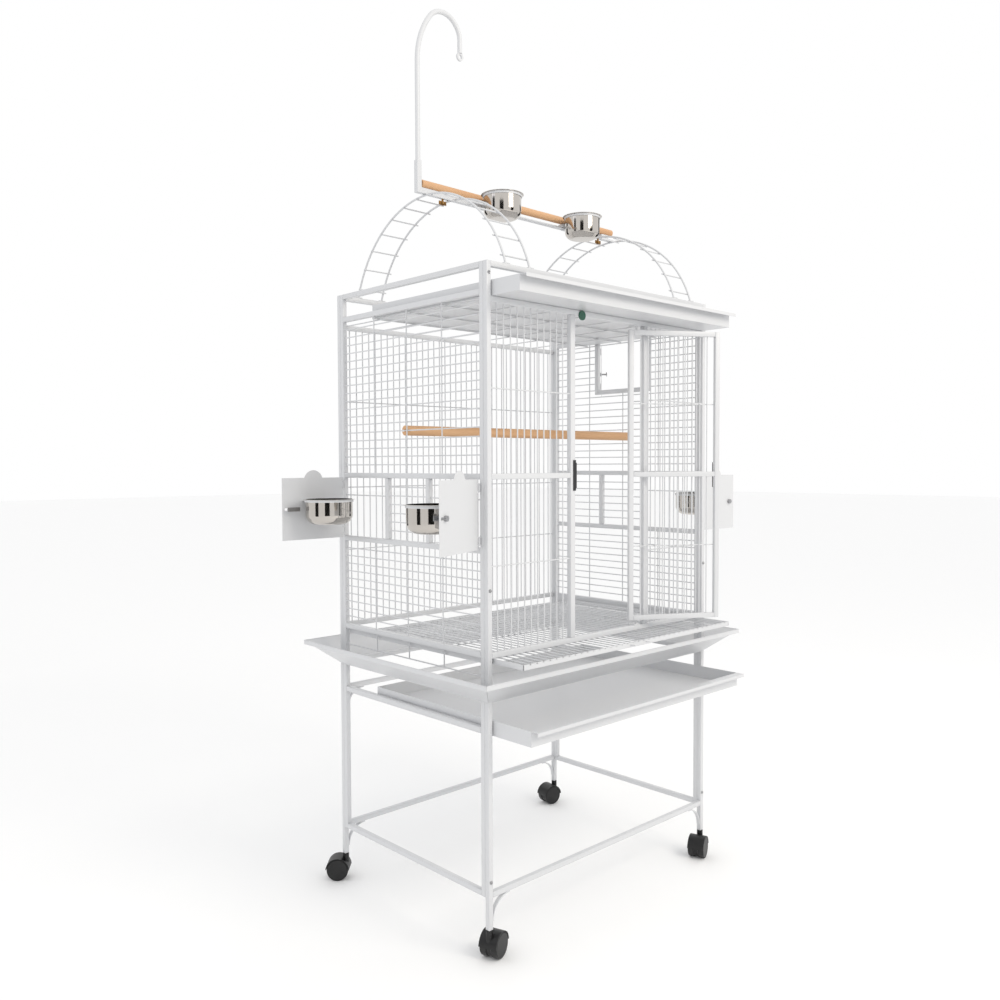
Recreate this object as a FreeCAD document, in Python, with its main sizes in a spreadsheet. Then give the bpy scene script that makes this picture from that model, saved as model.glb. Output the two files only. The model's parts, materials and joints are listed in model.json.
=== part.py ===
"""Parrot cage with a play top, on a wheeled stand.

Frame: +Z up, millimetres, the floor at Z 0. The origin is the middle of the cage's footprint on the floor,
+X runs along the front panel to the right and the front faces -Y. The doors and trays are drawn as they
stand open; each moving piece is built in its shut place and then turned or slid by a value of the sheet.
"""
import FreeCAD, Part
import math
import os

Vector = FreeCAD.Vector
doc = FreeCAD.newDocument("ParrotCage")

# ---------------------------------------------------------------- driving dimensions
SIZES = {
    # overall frame
    "width": 813.0, "depth": 571.2, "tube": 12.7, "wall": 1.0, "jamb": 15.9,
    # heights of rail undersides, and of the tops they end at
    "caster_height": 68.0, "stand_rail_low": 139.0, "drawer_low": 497.2, "stand_rail_side": 502.3,
    "stand_top": 584.0, "floor_rail": 667.0, "band_low": 895.5, "band_high": 1057.0,
    "panel_top": 1438.5, "side_top": 1455.3, "cage_top": 1526.0,
    # wires
    "wire": 3.0, "pitch": 20.3, "weld": 0.3, "tie_spacing": 130.0, "guard_drop": 41.0, "escape_wire": 1013.0,
    # openings in the panels
    "doorway_left": -125.0, "doorway_right": 135.0, "divider": 72.5,
    "nest_half": 89.5, "nest_sill": 1300.3,
    # main door
    "door_left": -115.0, "door_right": 131.0, "door_low": 692.0, "door_high": 1427.0,
    "door_pivot_x": 109.0, "door_pivot_y": -281.5, "door_pin": 5.0, "door_open": 149.0, "pin_gap": 0.05,
    "hinge_ear": 3.0, "pin_entry": 8.0,
    # feeder and nest doors
    "plate_width": 178.0, "plate_low": 904.0, "plate_high": 1058.0, "plate_gauge": 1.0, "plate_gap": 0.5,
    "knuckle": 5.8, "hinge_inset": 2.2,
    "tab_radius": 27.0, "tab_rise": 19.0, "feeder_pin": 2.2, "bolt_travel": 14.0,
    "rear_feeder_open": 90.0, "front_feeder_open": 112.0,
    "right_feeder_open": 90.0, "nest_open": 130.0, "nest_width": 186.0, "nest_low": 1306.0, "nest_high": 1450.0,
    # bowls and their rings
    "bowl_rim": 63.5, "bowl_body": 57.5, "bowl_height": 62.0, "bowl_gauge": 0.8, "bowl_reach": 85.0,
    "bowl_standoff": 67.0, "bowl_top": 1006.0, "ring_height": 6.0, "ring_gauge": 1.6, "fit_gap": 0.3,
    "cup_rim": 53.0, "cup_body": 47.0, "cup_height": 60.0, "cup_spacing": 298.0,
    "cup_offset": -1.0, "cup_top": 1758.0,
    # trays and grate
    "tray_half": 391.0, "tray_gauge": 1.0, "tray_height": 34.0, "tray_lip": 20.0, "tray_flange": 8.0,
    "top_tray_depth": 522.0, "top_tray_pull": 97.0, "drawer_depth": 545.0, "drawer_pull": 128.0,
    "grate_half": 388.0, "grate_depth": 560.0, "grate_height": 12.0, "grate_pull": 90.0, "grate_clear": 0.5,
    "grate_grip": 60.0, "grate_reach": 14.0,
    # seed guards
    "guard_out": 68.0, "guard_low": 575.0, "guard_high": 632.0, "guard_gauge": 1.2, "guard_lip": 11.0,
    # play top
    "arch_apex": 1733.0, "arch_rod": 5.0, "rung": 3.5, "arch_inner": 270.0, "arch_outer": 344.0, "rungs": 14,
    "hook_x": -364.4, "post_height": 76.0, "hook_rod": 12.0, "hook_straight": 2045.0, "base_length": 232.0,
    "play_perch": 19.6, "play_perch_length": 701.0, "bar_thick": 3.0, "bar_width": 18.0,
    # inner perch
    "perch": 24.0, "perch_row": 5, "perch_turn": -2.2, "perch_slot": 4.4, "perch_slot_depth": 6.0, "perch_end": 401.0,
    # casters
    "wheel": 56.0, "wheel_width": 17.0, "caster_body": 9.0, "caster_trail": 20.0, "axle": 7.0, "stem": 8.0,
    # fasteners
    "badge": 11.3, "bolt_head": 8.0, "bolt_rise": 3.0, "runner_gauge": 1.2, "runner_shelf": 14.0,
}
sheet = doc.addObject("Spreadsheet::Sheet", "sizes")
for row, (alias, value) in enumerate(SIZES.items(), start=1):
    sheet.set(f"A{row}", alias)
    sheet.set(f"B{row}", str(value))
    sheet.setAlias(f"B{row}", alias)
doc.recompute()


class Sheet:
    """Reads a cell of the sheet by its alias."""

    def __getattr__(self, alias):
        return float(sheet.get(alias))


S = Sheet()
NODES = {}


def bind(obj, prop, expression):
    """Binds a property to an expression in which a word is a cell of the sheet."""
    words = []
    for word in expression.replace("(", " ( ").replace(")", " ) ").split():
        words.append(f"sizes.{word}" if word in SIZES else word)
    obj.setExpression(prop, " ".join(words))


def box(x, y, z, length, width, height):
    """A Part::Box whose corner and sizes are expressions of the sheet."""
    block = doc.addObject("Part::Box", "Block")
    for prop, expression in (("Length", length), ("Width", width), ("Height", height),
                             (".Placement.Base.x", x), (".Placement.Base.y", y), (".Placement.Base.z", z)):
        bind(block, prop, expression)
    return block


def cut(base, tool):
    result = doc.addObject("Part::Cut", "Cut")
    result.Base, result.Tool = base, tool
    return result


def fuse(shapes, name="Weld"):
    result = doc.addObject("Part::MultiFuse", name)
    result.Shapes = shapes
    result.Refine = False
    return result


def tube(axis, x, y, z, length, section=("tube", "tube")):
    """A hollow square tube along an axis, with its low corner at x, y, z."""
    a, b = section
    sizes = {"X": (length, a, b), "Y": (a, length, b), "Z": (a, b, length)}[axis]
    corner = (x, y, z)
    outer = box(*corner, *sizes)
    step = {"X": (0, 1, 1), "Y": (1, 0, 1), "Z": (1, 1, 0)}[axis]
    inner_corner = [f"{c} + wall * {s}" for c, s in zip(corner, step)]
    inner_sizes = [f"{d} - 2 * wall * {s}" for d, s in zip(sizes, step)]
    return cut(outer, box(*inner_corner, *inner_sizes))


def rod(axis, x, y, z, length, diameter="wire"):
    """A round wire or pin along an axis, starting at x, y, z."""
    wire = doc.addObject("Part::Cylinder", "Rod")
    turn = {"X": FreeCAD.Rotation(Vector(0, 1, 0), 90), "Y": FreeCAD.Rotation(Vector(1, 0, 0), -90),
            "Z": FreeCAD.Rotation()}[axis]
    wire.Placement = FreeCAD.Placement(Vector(), turn)
    for prop, expression in (("Radius", f"( {diameter} ) / 2"), ("Height", length),
                             (".Placement.Base.x", x), (".Placement.Base.y", y), (".Placement.Base.z", z)):
        bind(wire, prop, expression)
    return wire


def node(name, pieces, placement=None):
    """Names a sub-part: one object, or a compound of its separate solids."""
    group = doc.addObject("Part::Compound", name)
    group.Links = pieces
    group.Label = name
    if placement is not None:
        group.Placement = placement
    NODES[name] = group
    return group


def feature(name, shape):
    """A Part::Feature for a shape that the primitives can't make."""
    made = doc.addObject("Part::Feature", name)
    made.Shape = shape
    return made


def about(x, y, degrees):
    """The placement that turns a shape about a vertical line."""
    centre = Vector(x, y, 0)
    turn = FreeCAD.Rotation(Vector(0, 0, 1), degrees)
    return FreeCAD.Placement(centre - turn.multVec(centre), turn)


def count(span, pitch):
    """How many wires divide a span into gaps of about the pitch."""
    return max(1, int(span / pitch + 0.5) - 1)


# ---------------------------------------------------------------- places that the pieces share
LEFT, RIGHT = "0 - width / 2", "width / 2 - tube"            # low corner of a tube at each side
FRONT, BACK = "0 - depth / 2", "depth / 2 - tube"
INNER_X, INNER_Y = "width / 2 - tube", "depth / 2 - tube"     # inside faces of the panels
BETWEEN_X = "width - 2 * tube"
SIDE_REACH = "depth / 2 - 2 * tube"                           # where a side frame's rails end
BETWEEN_SIDE = "depth - 4 * tube"
PANEL_MID_Y = "0 - depth / 2 + tube / 2"
BACK_MID_Y = "depth / 2 - tube / 2"
WIRE_STEP = "wire - weld"                                     # how far a tie wire's line stands off the bars'


# ---------------------------------------------------------------- cage panels
def end_panel_frame(name, y, sections):
    """The front or back panel's welded frame: two posts, and rails between them."""
    pieces = [tube("Z", x, y, "stand_top", "cage_top - stand_top") for x in (LEFT, RIGHT)]
    for z in ("cage_top - tube", "panel_top", "floor_rail"):
        pieces.append(tube("X", f"0 - ( {INNER_X} )", y, z, BETWEEN_X))
    for x, length in sections:
        pieces.append(tube("X", x, y, "band_high", length))
    return pieces


LEFT_SECTION = f"doorway_left - jamb + {INNER_X}"
RIGHT_SECTION = f"{INNER_X} - doorway_right - jamb"
front_pieces = end_panel_frame("front_panel_frame", FRONT, [(f"0 - ( {INNER_X} )", LEFT_SECTION),
                                                            ("doorway_right + jamb", RIGHT_SECTION)])
for jamb_x in ("doorway_left - jamb", "doorway_right"):
    front_pieces.append(tube("Z", jamb_x, FRONT, "floor_rail + tube", "panel_top - floor_rail - tube",
                             ("jamb", "tube")))
node("front_panel_frame", front_pieces)
node("back_panel_frame", end_panel_frame("back_panel_frame", BACK, []))


def upright_bars(x_low, x_span, y, z_low, z_high, ties, outward):
    """Upright bars across a span, welded to level tie wires: one solid."""
    span = float(x_span)
    bars = count(span, S.pitch)
    wires = [rod("Z", f"{x_low} + {span} * {i + 1} / {bars + 1}", y, z_low, f"{z_high} - ( {z_low} )")
             for i in range(bars)]
    for z in ties:
        wires.append(rod("X", str(x_low), f"{y} + {outward} * ( {WIRE_STEP} )", z, str(span)))
    return fuse(wires)


UPPER_TIE = "( band_high + tube + panel_top ) / 2"
LOWER_TIE = "( floor_rail + tube + band_high ) / 2"
inner_x = S.width / 2 - S.tube
front_bars = []
for x_low, x_high in ((-inner_x, S.doorway_left - S.jamb), (S.doorway_right + S.jamb, inner_x)):
    for z_low, z_high, tie in (("floor_rail + tube", "band_high", LOWER_TIE),
                               ("band_high + tube", "panel_top", UPPER_TIE)):
        front_bars.append(upright_bars(x_low, x_high - x_low, PANEL_MID_Y, z_low, z_high, [tie], -1))
node("front_panel_bars", front_bars)
node("back_panel_bars", [upright_bars(-inner_x, 2 * inner_x, BACK_MID_Y, "floor_rail + tube", "panel_top",
                                      [LOWER_TIE, "band_high - tube * 2", UPPER_TIE], 1)])


def side_frame(side):
    """A side panel's welded frame: posts, rails, and the dividers of the feeder band."""
    x = LEFT if side < 0 else RIGHT
    posts = [f"0 - ( {SIDE_REACH} ) - tube", SIDE_REACH]
    pieces = [tube("Z", x, y, "stand_top", "cage_top - stand_top") for y in posts]
    for z in ("cage_top - tube", "side_top", "band_high", "band_low", "floor_rail"):
        pieces.append(tube("Y", x, f"0 - ( {SIDE_REACH} )", z, BETWEEN_SIDE))
    for y in ("0 - divider - tube", "divider"):
        pieces.append(tube("Z", x, y, "band_low + tube", "band_high - band_low - tube"))
    if side > 0:
        for y in ("0 - nest_half - tube", "nest_half"):
            pieces.append(tube("Z", x, y, "nest_sill", "side_top - nest_sill"))
        pieces.append(tube("Y", x, "0 - nest_half", "nest_sill", "2 * nest_half"))
    return pieces


def level_rows(z_low, z_high):
    """The heights of the level bars that divide a field evenly."""
    rise = z_high - z_low
    gaps = count(rise, S.pitch) + 1
    return [z_low + rise * i / gaps for i in range(1, gaps)]


def level_bars(x, outward, y_low, y_high, z_low, z_high, ties, rows=None):
    """Level bars between two heights, welded to upright tie wires: one solid."""
    rows = [z for z in rows or level_rows(z_low, z_high) if z_low < z < z_high]
    wires = [rod("Y", x, str(y_low), str(z), str(y_high - y_low)) for z in rows]
    for y in ties:
        wires.append(rod("Z", f"{x} + {outward} * ( {WIRE_STEP} )", y, str(z_low), str(z_high - z_low)))
    return fuse(wires)


reach = S.depth / 2 - 2 * S.tube
TIES = ["0 - tie_spacing", "0", "tie_spacing"]


def side_bars(side):
    """All the bars of a side panel: the lower, band and upper fields, and the guard wire under the floor rail."""
    x = f"{side} * ( width / 2 - tube / 2 )"
    floor, low, high, top = S.floor_rail + S.tube, S.band_low, S.band_high, S.side_top
    fields = [level_bars(x, side, -reach, reach, floor, low, TIES),
              level_bars(x, side, -S.divider, S.divider, low + S.tube, high, ["0"])]
    shut_end = S.divider + S.tube
    if side < 0:
        fields.append(level_bars(x, side, -reach, reach, high + S.tube, top, TIES))
        escapes = (-1, 1)
    else:
        sill, jamb = S.nest_sill, S.nest_half + S.tube
        rows = level_rows(high + S.tube, top)
        fields.append(level_bars(x, side, -reach, reach, high + S.tube, sill, TIES, rows))
        fields.append(level_bars(x, side, -reach, -jamb, sill, top, [TIES[0]], rows))
        fields.append(level_bars(x, side, jamb, reach, sill, top, [TIES[2]], rows))
        fields.append(level_bars(x, side, shut_end, reach, low + S.tube, high, ["tie_spacing + 40"]))
        escapes = (-1,)
    for end in escapes:
        start = shut_end if end > 0 else -reach
        fields.append(rod("Y", x, str(start), "escape_wire", str(reach - shut_end)))
    guard = [rod("Y", x, str(-reach), "floor_rail - guard_drop", str(2 * reach))]
    for y in TIES:
        guard.append(rod("Z", f"{x} + {side} * ( {WIRE_STEP} )", y, "floor_rail - guard_drop - 2", "guard_drop + 2"))
    fields.append(fuse(guard))
    return fields


for side, word in ((-1, "left"), (1, "right")):
    node(f"{word}_side_frame", side_frame(side))
    node(f"{word}_side_bars", side_bars(side))

ROOF_Z = "panel_top + tube - 1.5 * wire - fit_gap"
ROOF_HALF = f"( {INNER_X} - wire / 2 - fit_gap )"
roof = [rod("Y", f"{ROOF_HALF} * ( 2 * {i} / 7 - 1 )", f"0 - ( {INNER_Y} )", ROOF_Z, "depth - 2 * tube")
        for i in range(8)]
for y in TIES:
    roof.append(rod("X", f"0 - {ROOF_HALF}", y, f"{ROOF_Z} + {WIRE_STEP}", f"2 * {ROOF_HALF}"))
node("roof_grille", [fuse(roof)])


# ---------------------------------------------------------------- stand
def gusset(x_leg, toward, y, z_rail, radius=52.0, gauge=3.0):
    """A quarter-round flat brace between a leg and the underside of a rail."""
    low, mid = z_rail - radius, math.sqrt(0.5)
    centre = Vector(x_leg + toward * radius, 0, low)

    def arc(r):
        return Part.Arc(centre + Vector(-toward * r, 0, 0), centre + Vector(-toward * r * mid, 0, r * mid),
                        centre + Vector(0, 0, r)).toShape()

    outer, inner = arc(radius), arc(radius - gauge)
    ends = [Part.LineSegment(outer.Vertexes[i].Point, inner.Vertexes[i].Point).toShape() for i in (0, 1)]
    face = Part.Face(Part.Wire(Part.__sortEdges__([outer, inner] + ends)))
    strip = face.extrude(Vector(0, 9.0, 0))
    strip.translate(Vector(0, y, 0))
    return feature("Gusset", strip)


def stand_end_frame(y, y_value, braced_rails):
    """The front or back frame of the stand: two long legs, a top rail, and lower rails with curved gussets."""
    pieces = [tube("Z", x, y, "caster_height", "stand_top - caster_height") for x in (LEFT, RIGHT)]
    for z in ["stand_top - tube", *braced_rails]:
        pieces.append(tube("X", f"0 - ( {INNER_X} )", y, z, BETWEEN_X))
    for rail in braced_rails:
        for side in (-1, 1):
            pieces.append(gusset(side * inner_x, -side, y_value + (S.tube - 9.0) / 2, getattr(S, rail)))
    return pieces


node("stand_front_frame", stand_end_frame(FRONT, -S.depth / 2, ["stand_rail_low"]))
node("stand_back_frame", stand_end_frame(BACK, S.depth / 2 - S.tube, ["stand_rail_low", "stand_rail_side"]))
stand_sides = []
for side_x in (LEFT, RIGHT):
    for y in (f"0 - ( {SIDE_REACH} ) - tube", SIDE_REACH):
        stand_sides.append(tube("Z", side_x, y, "stand_rail_low", "stand_top - stand_rail_low"))
    for z in ("stand_top - tube", "stand_rail_side", "stand_rail_low"):
        stand_sides.append(tube("Y", side_x, f"0 - ( {SIDE_REACH} )", z, BETWEEN_SIDE))
node("stand_side_frames", stand_sides)


# ---------------------------------------------------------------- seed guards
def sheet_solid(points, thickness):
    """A flat four-sided sheet from its corners, thickened along its normal."""
    wire = Part.makePolygon([*points, points[0]])
    normal = (points[1] - points[0]).cross(points[2] - points[0])
    normal.normalize()
    return Part.Face(wire).extrude(normal * thickness)


def seed_guard(name, centre_span, half_run, turn):
    """One sloping guard with mitred ends and a turned-down lip, drawn along -Y and then turned about Z."""
    y_in = -centre_span - S.fit_gap
    y_out = y_in - S.guard_out
    run_in, run_out = half_run + S.fit_gap, half_run + S.fit_gap + S.guard_out
    gap = 0.4
    corners = [Vector(-run_in + gap, y_in, S.guard_low), Vector(run_in - gap, y_in, S.guard_low),
               Vector(run_out - gap, y_out, S.guard_high), Vector(-run_out + gap, y_out, S.guard_high)]
    slope = sheet_solid(corners, S.guard_gauge)
    lip = Part.makeBox(2 * (run_out - gap) - 2.0, S.guard_gauge, S.guard_lip,
                       Vector(-run_out + gap + 1.0, y_out, S.guard_high - S.guard_lip + 0.3))
    flange = Part.makeBox(2 * (run_in - gap), S.guard_gauge, S.stand_top - S.guard_low,
                          Vector(-run_in + gap, y_in - S.guard_gauge, S.guard_low))
    shape = slope.fuse([lip, flange]).removeSplitter()
    piece = feature(name, shape)
    piece.Placement = FreeCAD.Placement(Vector(), FreeCAD.Rotation(Vector(0, 0, 1), turn))
    node(f"{name}_guard", [piece])


for word, across, along, turn in (("front", S.depth / 2, S.width / 2, 0), ("right", S.width / 2, S.depth / 2, 90),
                                  ("back", S.depth / 2, S.width / 2, 180), ("left", S.width / 2, S.depth / 2, 270)):
    seed_guard(word, across, along, turn)


# ---------------------------------------------------------------- trays and grate
def open_tray(depth_cell, z_low):
    """A folded steel tray with its front wall at the front panel's inside face, and a lip along the front."""
    front = f"0 - ( {INNER_Y} )"
    outer = box("0 - tray_half", front, z_low, "2 * tray_half", depth_cell, "tray_height")
    inner = box("0 - tray_half + tray_gauge", f"{front} + tray_gauge", f"{z_low} + tray_gauge",
                "2 * ( tray_half - tray_gauge )", f"{depth_cell} - 2 * tray_gauge", "tray_height")
    lip = box("0 - tray_half", f"{front} - tray_lip", f"{z_low} + tray_height - tray_gauge", "2 * tray_half",
              "tray_lip + tray_gauge", "tray_gauge")
    flange = box("0 - tray_half", f"{front} - tray_lip", f"{z_low} + tray_height - tray_flange", "2 * tray_half",
                 "tray_gauge", "tray_flange")
    return fuse([cut(outer, inner), lip, flange])


def pulled(distance):
    """The placement of a tray pulled out towards the front."""
    return FreeCAD.Placement(Vector(0, -distance, 0), FreeCAD.Rotation())


node("top_tray", [open_tray("top_tray_depth", "panel_top + tube + fit_gap")], pulled(S.top_tray_pull))
node("litter_drawer", [open_tray("drawer_depth", "drawer_low")], pulled(S.drawer_pull))

GRATE_Z = "floor_rail - grate_clear - grate_height"
grate_front = f"0 - ( {INNER_Y} ) - tube"
grate_rails = [box("0 - grate_half", grate_front, GRATE_Z, "2 * grate_half", "2", "grate_height"),
               box("0 - grate_half", f"{grate_front} + grate_depth - 2", GRATE_Z, "2 * grate_half", "2",
                   "grate_height"),
               box("0 - grate_half", f"{grate_front} + 2", GRATE_Z, "2", "grate_depth - 4", "grate_height"),
               box("grate_half - 2", f"{grate_front} + 2", GRATE_Z, "2", "grate_depth - 4", "grate_height")]
grate_count = count(2 * S.grate_half, S.pitch)
grate_top = f"{GRATE_Z} + grate_height - wire"
grate = grate_rails + [rod("Y", f"0 - grate_half + 2 * grate_half * {i + 1} / {grate_count + 1}",
                           f"{grate_front} + 1", grate_top, "grate_depth - 2") for i in range(grate_count)]
for share in (0.25, 0.5, 0.75):
    grate.append(rod("X", "1 - grate_half", f"{grate_front} + grate_depth * {share}",
                     f"{grate_top} - ( {WIRE_STEP} )", "2 * grate_half - 2"))
for x in ("0 - grate_grip / 2", "grate_grip / 2"):
    grate.append(rod("Y", x, f"{grate_front} - grate_reach", f"{GRATE_Z} + grate_height / 2", "grate_reach + 1"))
grate.append(rod("X", "0 - grate_grip / 2 - wire / 2", f"{grate_front} - grate_reach",
                 f"{GRATE_Z} + grate_height / 2", "grate_grip + wire"))
node("floor_grate", [fuse(grate)], pulled(S.grate_pull))


def angle_runners(z_shelf_top, z_top):
    """A pair of L-shaped runners on the side frames' inside faces."""
    low = f"{z_shelf_top} - runner_gauge"
    for corner, shelf in (("runner_gauge - width / 2 + tube - runner_gauge", "0 - width / 2 + tube"),
                          ("width / 2 - tube - runner_gauge", "width / 2 - tube - runner_shelf")):
        upright = box(corner, f"0 - ( {SIDE_REACH} )", low, "runner_gauge", BETWEEN_SIDE, f"{z_top} - ( {low} )")
        ledge = box(shelf, f"0 - ( {SIDE_REACH} )", low, "runner_shelf", BETWEEN_SIDE, "runner_gauge")
        yield fuse([upright, ledge])


node("tray_runners", [*angle_runners(f"{GRATE_Z} - fit_gap", "floor_rail + 8"),
                      *angle_runners("drawer_low - fit_gap", "stand_rail_side + 8")])


# ---------------------------------------------------------------- main door
door_x, door_y = S.door_pivot_x, S.door_pivot_y
door_pieces = [tube("Z", x, FRONT, "door_low", "door_high - door_low") for x in ("door_left", "door_right - tube")]
for z in ("door_low", "band_high", "door_high - tube"):
    door_pieces.append(tube("X", "door_left + tube", FRONT, z, "door_right - door_left - 2 * tube"))
DOOR_TURN = about(door_x, door_y, S.door_open)
door_wires = []
for z_low, z_high in (("door_low + tube", "band_high"), ("band_high + tube", "door_high - tube")):
    door_wires.append(upright_bars(S.door_left + S.tube, S.door_right - S.door_left - 2 * S.tube, PANEL_MID_Y, z_low,
                                   z_high, [f"( {z_low} + {z_high} ) / 2"], -1))
node("door_bars", door_wires, DOOR_TURN)
BORE = "door_pin + 2 * pin_gap"
for rail, wall_z in ((2, "door_low - 1"), (4, "door_high - wall - 1")):
    door_pieces[rail] = cut(door_pieces[rail], rod("Z", "door_pivot_x", "door_pivot_y", wall_z, "wall + 2", BORE))
node("door_frame", door_pieces, DOOR_TURN)


EAR = "hinge_ear"
ears = [box("door_pivot_x - 11", FRONT, z, "22", "20", EAR) for z in ("floor_rail + tube", "panel_top - hinge_ear")]
pins = [rod("Z", "door_pivot_x", "door_pivot_y", f"floor_rail + tube + {EAR}",
            f"door_low + pin_entry - floor_rail - tube - {EAR}", "door_pin"),
        rod("Z", "door_pivot_x", "door_pivot_y", "door_high - pin_entry",
            f"panel_top - {EAR} - door_high + pin_entry", "door_pin")]
node("door_hinges", [*ears, *pins])

STRIKE_MID = "band_high + tube / 2"
node("door_strike", [box("doorway_left", f"{FRONT} + 1", f"{STRIKE_MID} - 30", "6", "10", "60"),
                     box("doorway_left - 8", f"{FRONT} - 2", f"{STRIKE_MID} - 36", "8", "2", "72")])

latch_x, latch_y = S.door_left + S.tube / 2, -S.depth / 2 - S.fit_gap
LATCH_X = "door_left + tube / 2"
lever = box(f"{LATCH_X} - 4", f"{FRONT} - 8.3", f"{STRIKE_MID} - 34", "8", "4", "64")
hub = rod("Y", LATCH_X, f"{FRONT} - 8.3", STRIKE_MID, "8", "12")
node("door_latch", [fuse([lever, hub])], DOOR_TURN)


# ---------------------------------------------------------------- bowls, rings, feeder doors
def bowl_shape(rim, body, height, top, gauge):
    """A pressed steel bowl with a rounded foot and a flat rolled rim, about the Z axis."""
    low, foot = top - height, body * 0.42
    mid = math.sqrt(0.5)

    def line(a, b):
        return Part.LineSegment(Vector(a[0], 0, a[1]), Vector(b[0], 0, b[1])).toShape()

    def corner(centre, radius):
        x, z = centre
        return Part.Arc(Vector(x, 0, z - radius), Vector(x + radius * mid, 0, z - radius * mid),
                        Vector(x + radius, 0, z)).toShape()

    inside = body - gauge
    centre = (body - foot, low + foot)
    edges = [line((0, low), (centre[0], low)), corner(centre, foot), line((body, low + foot), (body, top - gauge)),
             line((body, top - gauge), (rim, top - gauge)), line((rim, top - gauge), (rim, top)),
             line((rim, top), (inside, top)), line((inside, top), (inside, low + foot)),
             corner(centre, foot - gauge), line((centre[0], low + gauge), (0, low + gauge)),
             line((0, low + gauge), (0, low))]
    return Part.Face(Part.Wire(edges)).revolve(Vector(), Vector(0, 0, 1), 360)


def ring_shape(rim, body, top, height, gauge, gap):
    """The flat band that a bowl's rim rests on."""
    outer = Part.makeCylinder(body + gap + gauge, height, Vector(0, 0, top - height))
    return outer.cut(Part.makeCylinder(body + gap, height, Vector(0, 0, top - height)))


HINGE_OFF = S.knuckle / 2 + S.fit_gap
SHEET_IN = HINGE_OFF - S.plate_gap                            # the sheet's cage side, from the hinge line
SHEET_OUT = SHEET_IN - S.plate_gauge
LUG_GAP, LUG, KNUCKLE_LENGTH = 0.3, 2.7, 14.0


def slab(x, y_near, y_far, z, length, height, side):
    """A box between two distances from the hinge line, on the cage's side of it."""
    return Part.makeBox(length, abs(y_far - y_near), height, Vector(x, min(side * y_near, side * y_far), z))


def knuckle_heights(low, high):
    return (low + 12.0, high - 26.0)


def plate_shape(width, low, high, z_bolt, side, tab):
    """A hinged sheet door about the Z axis: the sheet runs along +X and the cage is on the side's Y."""
    body = slab(0, SHEET_OUT, SHEET_IN, low, width, high - low, side)
    if tab:
        centre = Vector(width / 2, min(side * SHEET_OUT, side * SHEET_IN), high + S.tab_rise - S.tab_radius)
        body = body.fuse(Part.makeCylinder(S.tab_radius, S.plate_gauge, centre, Vector(0, 1, 0)))
    reach_of_lug = math.hypot(HINGE_OFF, 2.0) + LUG_GAP
    for z in knuckle_heights(low, high):
        for lug_z in (z - LUG_GAP - LUG, z + KNUCKLE_LENGTH + LUG_GAP):
            body = body.cut(slab(0, 0, SHEET_IN, lug_z - LUG_GAP, reach_of_lug, LUG + 2 * LUG_GAP, side))
        body = body.fuse(Part.makeCylinder(S.knuckle / 2, KNUCKLE_LENGTH, Vector(0, 0, z)))
    for z in knuckle_heights(low, high):
        body = body.cut(Part.makeCylinder(S.feeder_pin / 2 + S.pin_gap, KNUCKLE_LENGTH, Vector(0, 0, z)))
    slot = slab(width - 27.0, 0, SHEET_IN + 1, z_bolt - 3.0, 6.0 + S.bolt_travel, 6.0, side)
    return body.cut(slot).removeSplitter()


def bolt_shape(width, z_mid, side):
    """The slide bolt of a sheet door: a bar behind the sheet, a neck through its slot and a round knob outside."""
    stand = HINGE_OFF + S.tube + 0.5
    bar = slab(width - 40.0, stand, stand + 3.0, z_mid - 5.0, 34.0, 10.0, side)
    face = SHEET_OUT - S.fit_gap
    neck = Part.makeCylinder(2.5, stand - face + 1, Vector(width - 24.0, side * face, z_mid), Vector(0, side, 0))
    knob = Part.makeCylinder(6.0, 6.0, Vector(width - 24.0, side * face, z_mid), Vector(0, -side, 0))
    return bar.fuse([neck, knob]).removeSplitter()


def ring_with_strap(side):
    """A bowl's band, joined by a short bridge to the strap that is welded to the sheet."""
    top = S.bowl_top - S.bowl_gauge - 0.05
    low = top - S.ring_height
    centre = Vector(S.bowl_reach, side * S.bowl_standoff, 0)
    ring = ring_shape(S.bowl_rim, S.bowl_body, top, S.ring_height, S.ring_gauge, S.fit_gap)
    ring.translate(centre)
    strap = slab(S.bowl_reach - 40.0, SHEET_IN, SHEET_IN + 1.6, low, 80.0, S.ring_height, side)
    bridge = slab(S.bowl_reach - 13.0, SHEET_IN, SHEET_IN + 10.0, low, 26.0, S.ring_height, side)
    hole = Part.makeCylinder(S.bowl_body + S.fit_gap, S.ring_height, Vector(centre.x, centre.y, low))
    return ring.fuse([strap, bridge.cut(hole)]).removeSplitter()


def sheet_door(prefix, hinge, u_angle, side, bowl):
    """A hinged sheet door with its slide bolt and, on a feeder, its ring and bowl."""
    low, high = (S.plate_low, S.plate_high) if bowl else (S.nest_low, S.nest_high)
    width = S.plate_width if bowl else S.nest_width
    place = FreeCAD.Placement(Vector(*hinge, 0), FreeCAD.Rotation(Vector(0, 0, 1), u_angle))
    z_mid = (low + high) / 2
    if bowl:
        dish = bowl_shape(S.bowl_rim, S.bowl_body, S.bowl_height, S.bowl_top, S.bowl_gauge)
        dish.translate(Vector(S.bowl_reach, side * S.bowl_standoff, 0))
        node(f"{prefix}_ring", [feature("Ring", ring_with_strap(side))], place)
        node(f"{prefix}_bowl", [feature("Bowl", dish)], place)
    node(f"{prefix}_door", [feature("Sheet", plate_shape(width, low, high, z_mid, side, bowl))], place)
    node(f"{prefix}_bolt", [feature("Bolt", bolt_shape(width, z_mid, side))], place)


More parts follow.
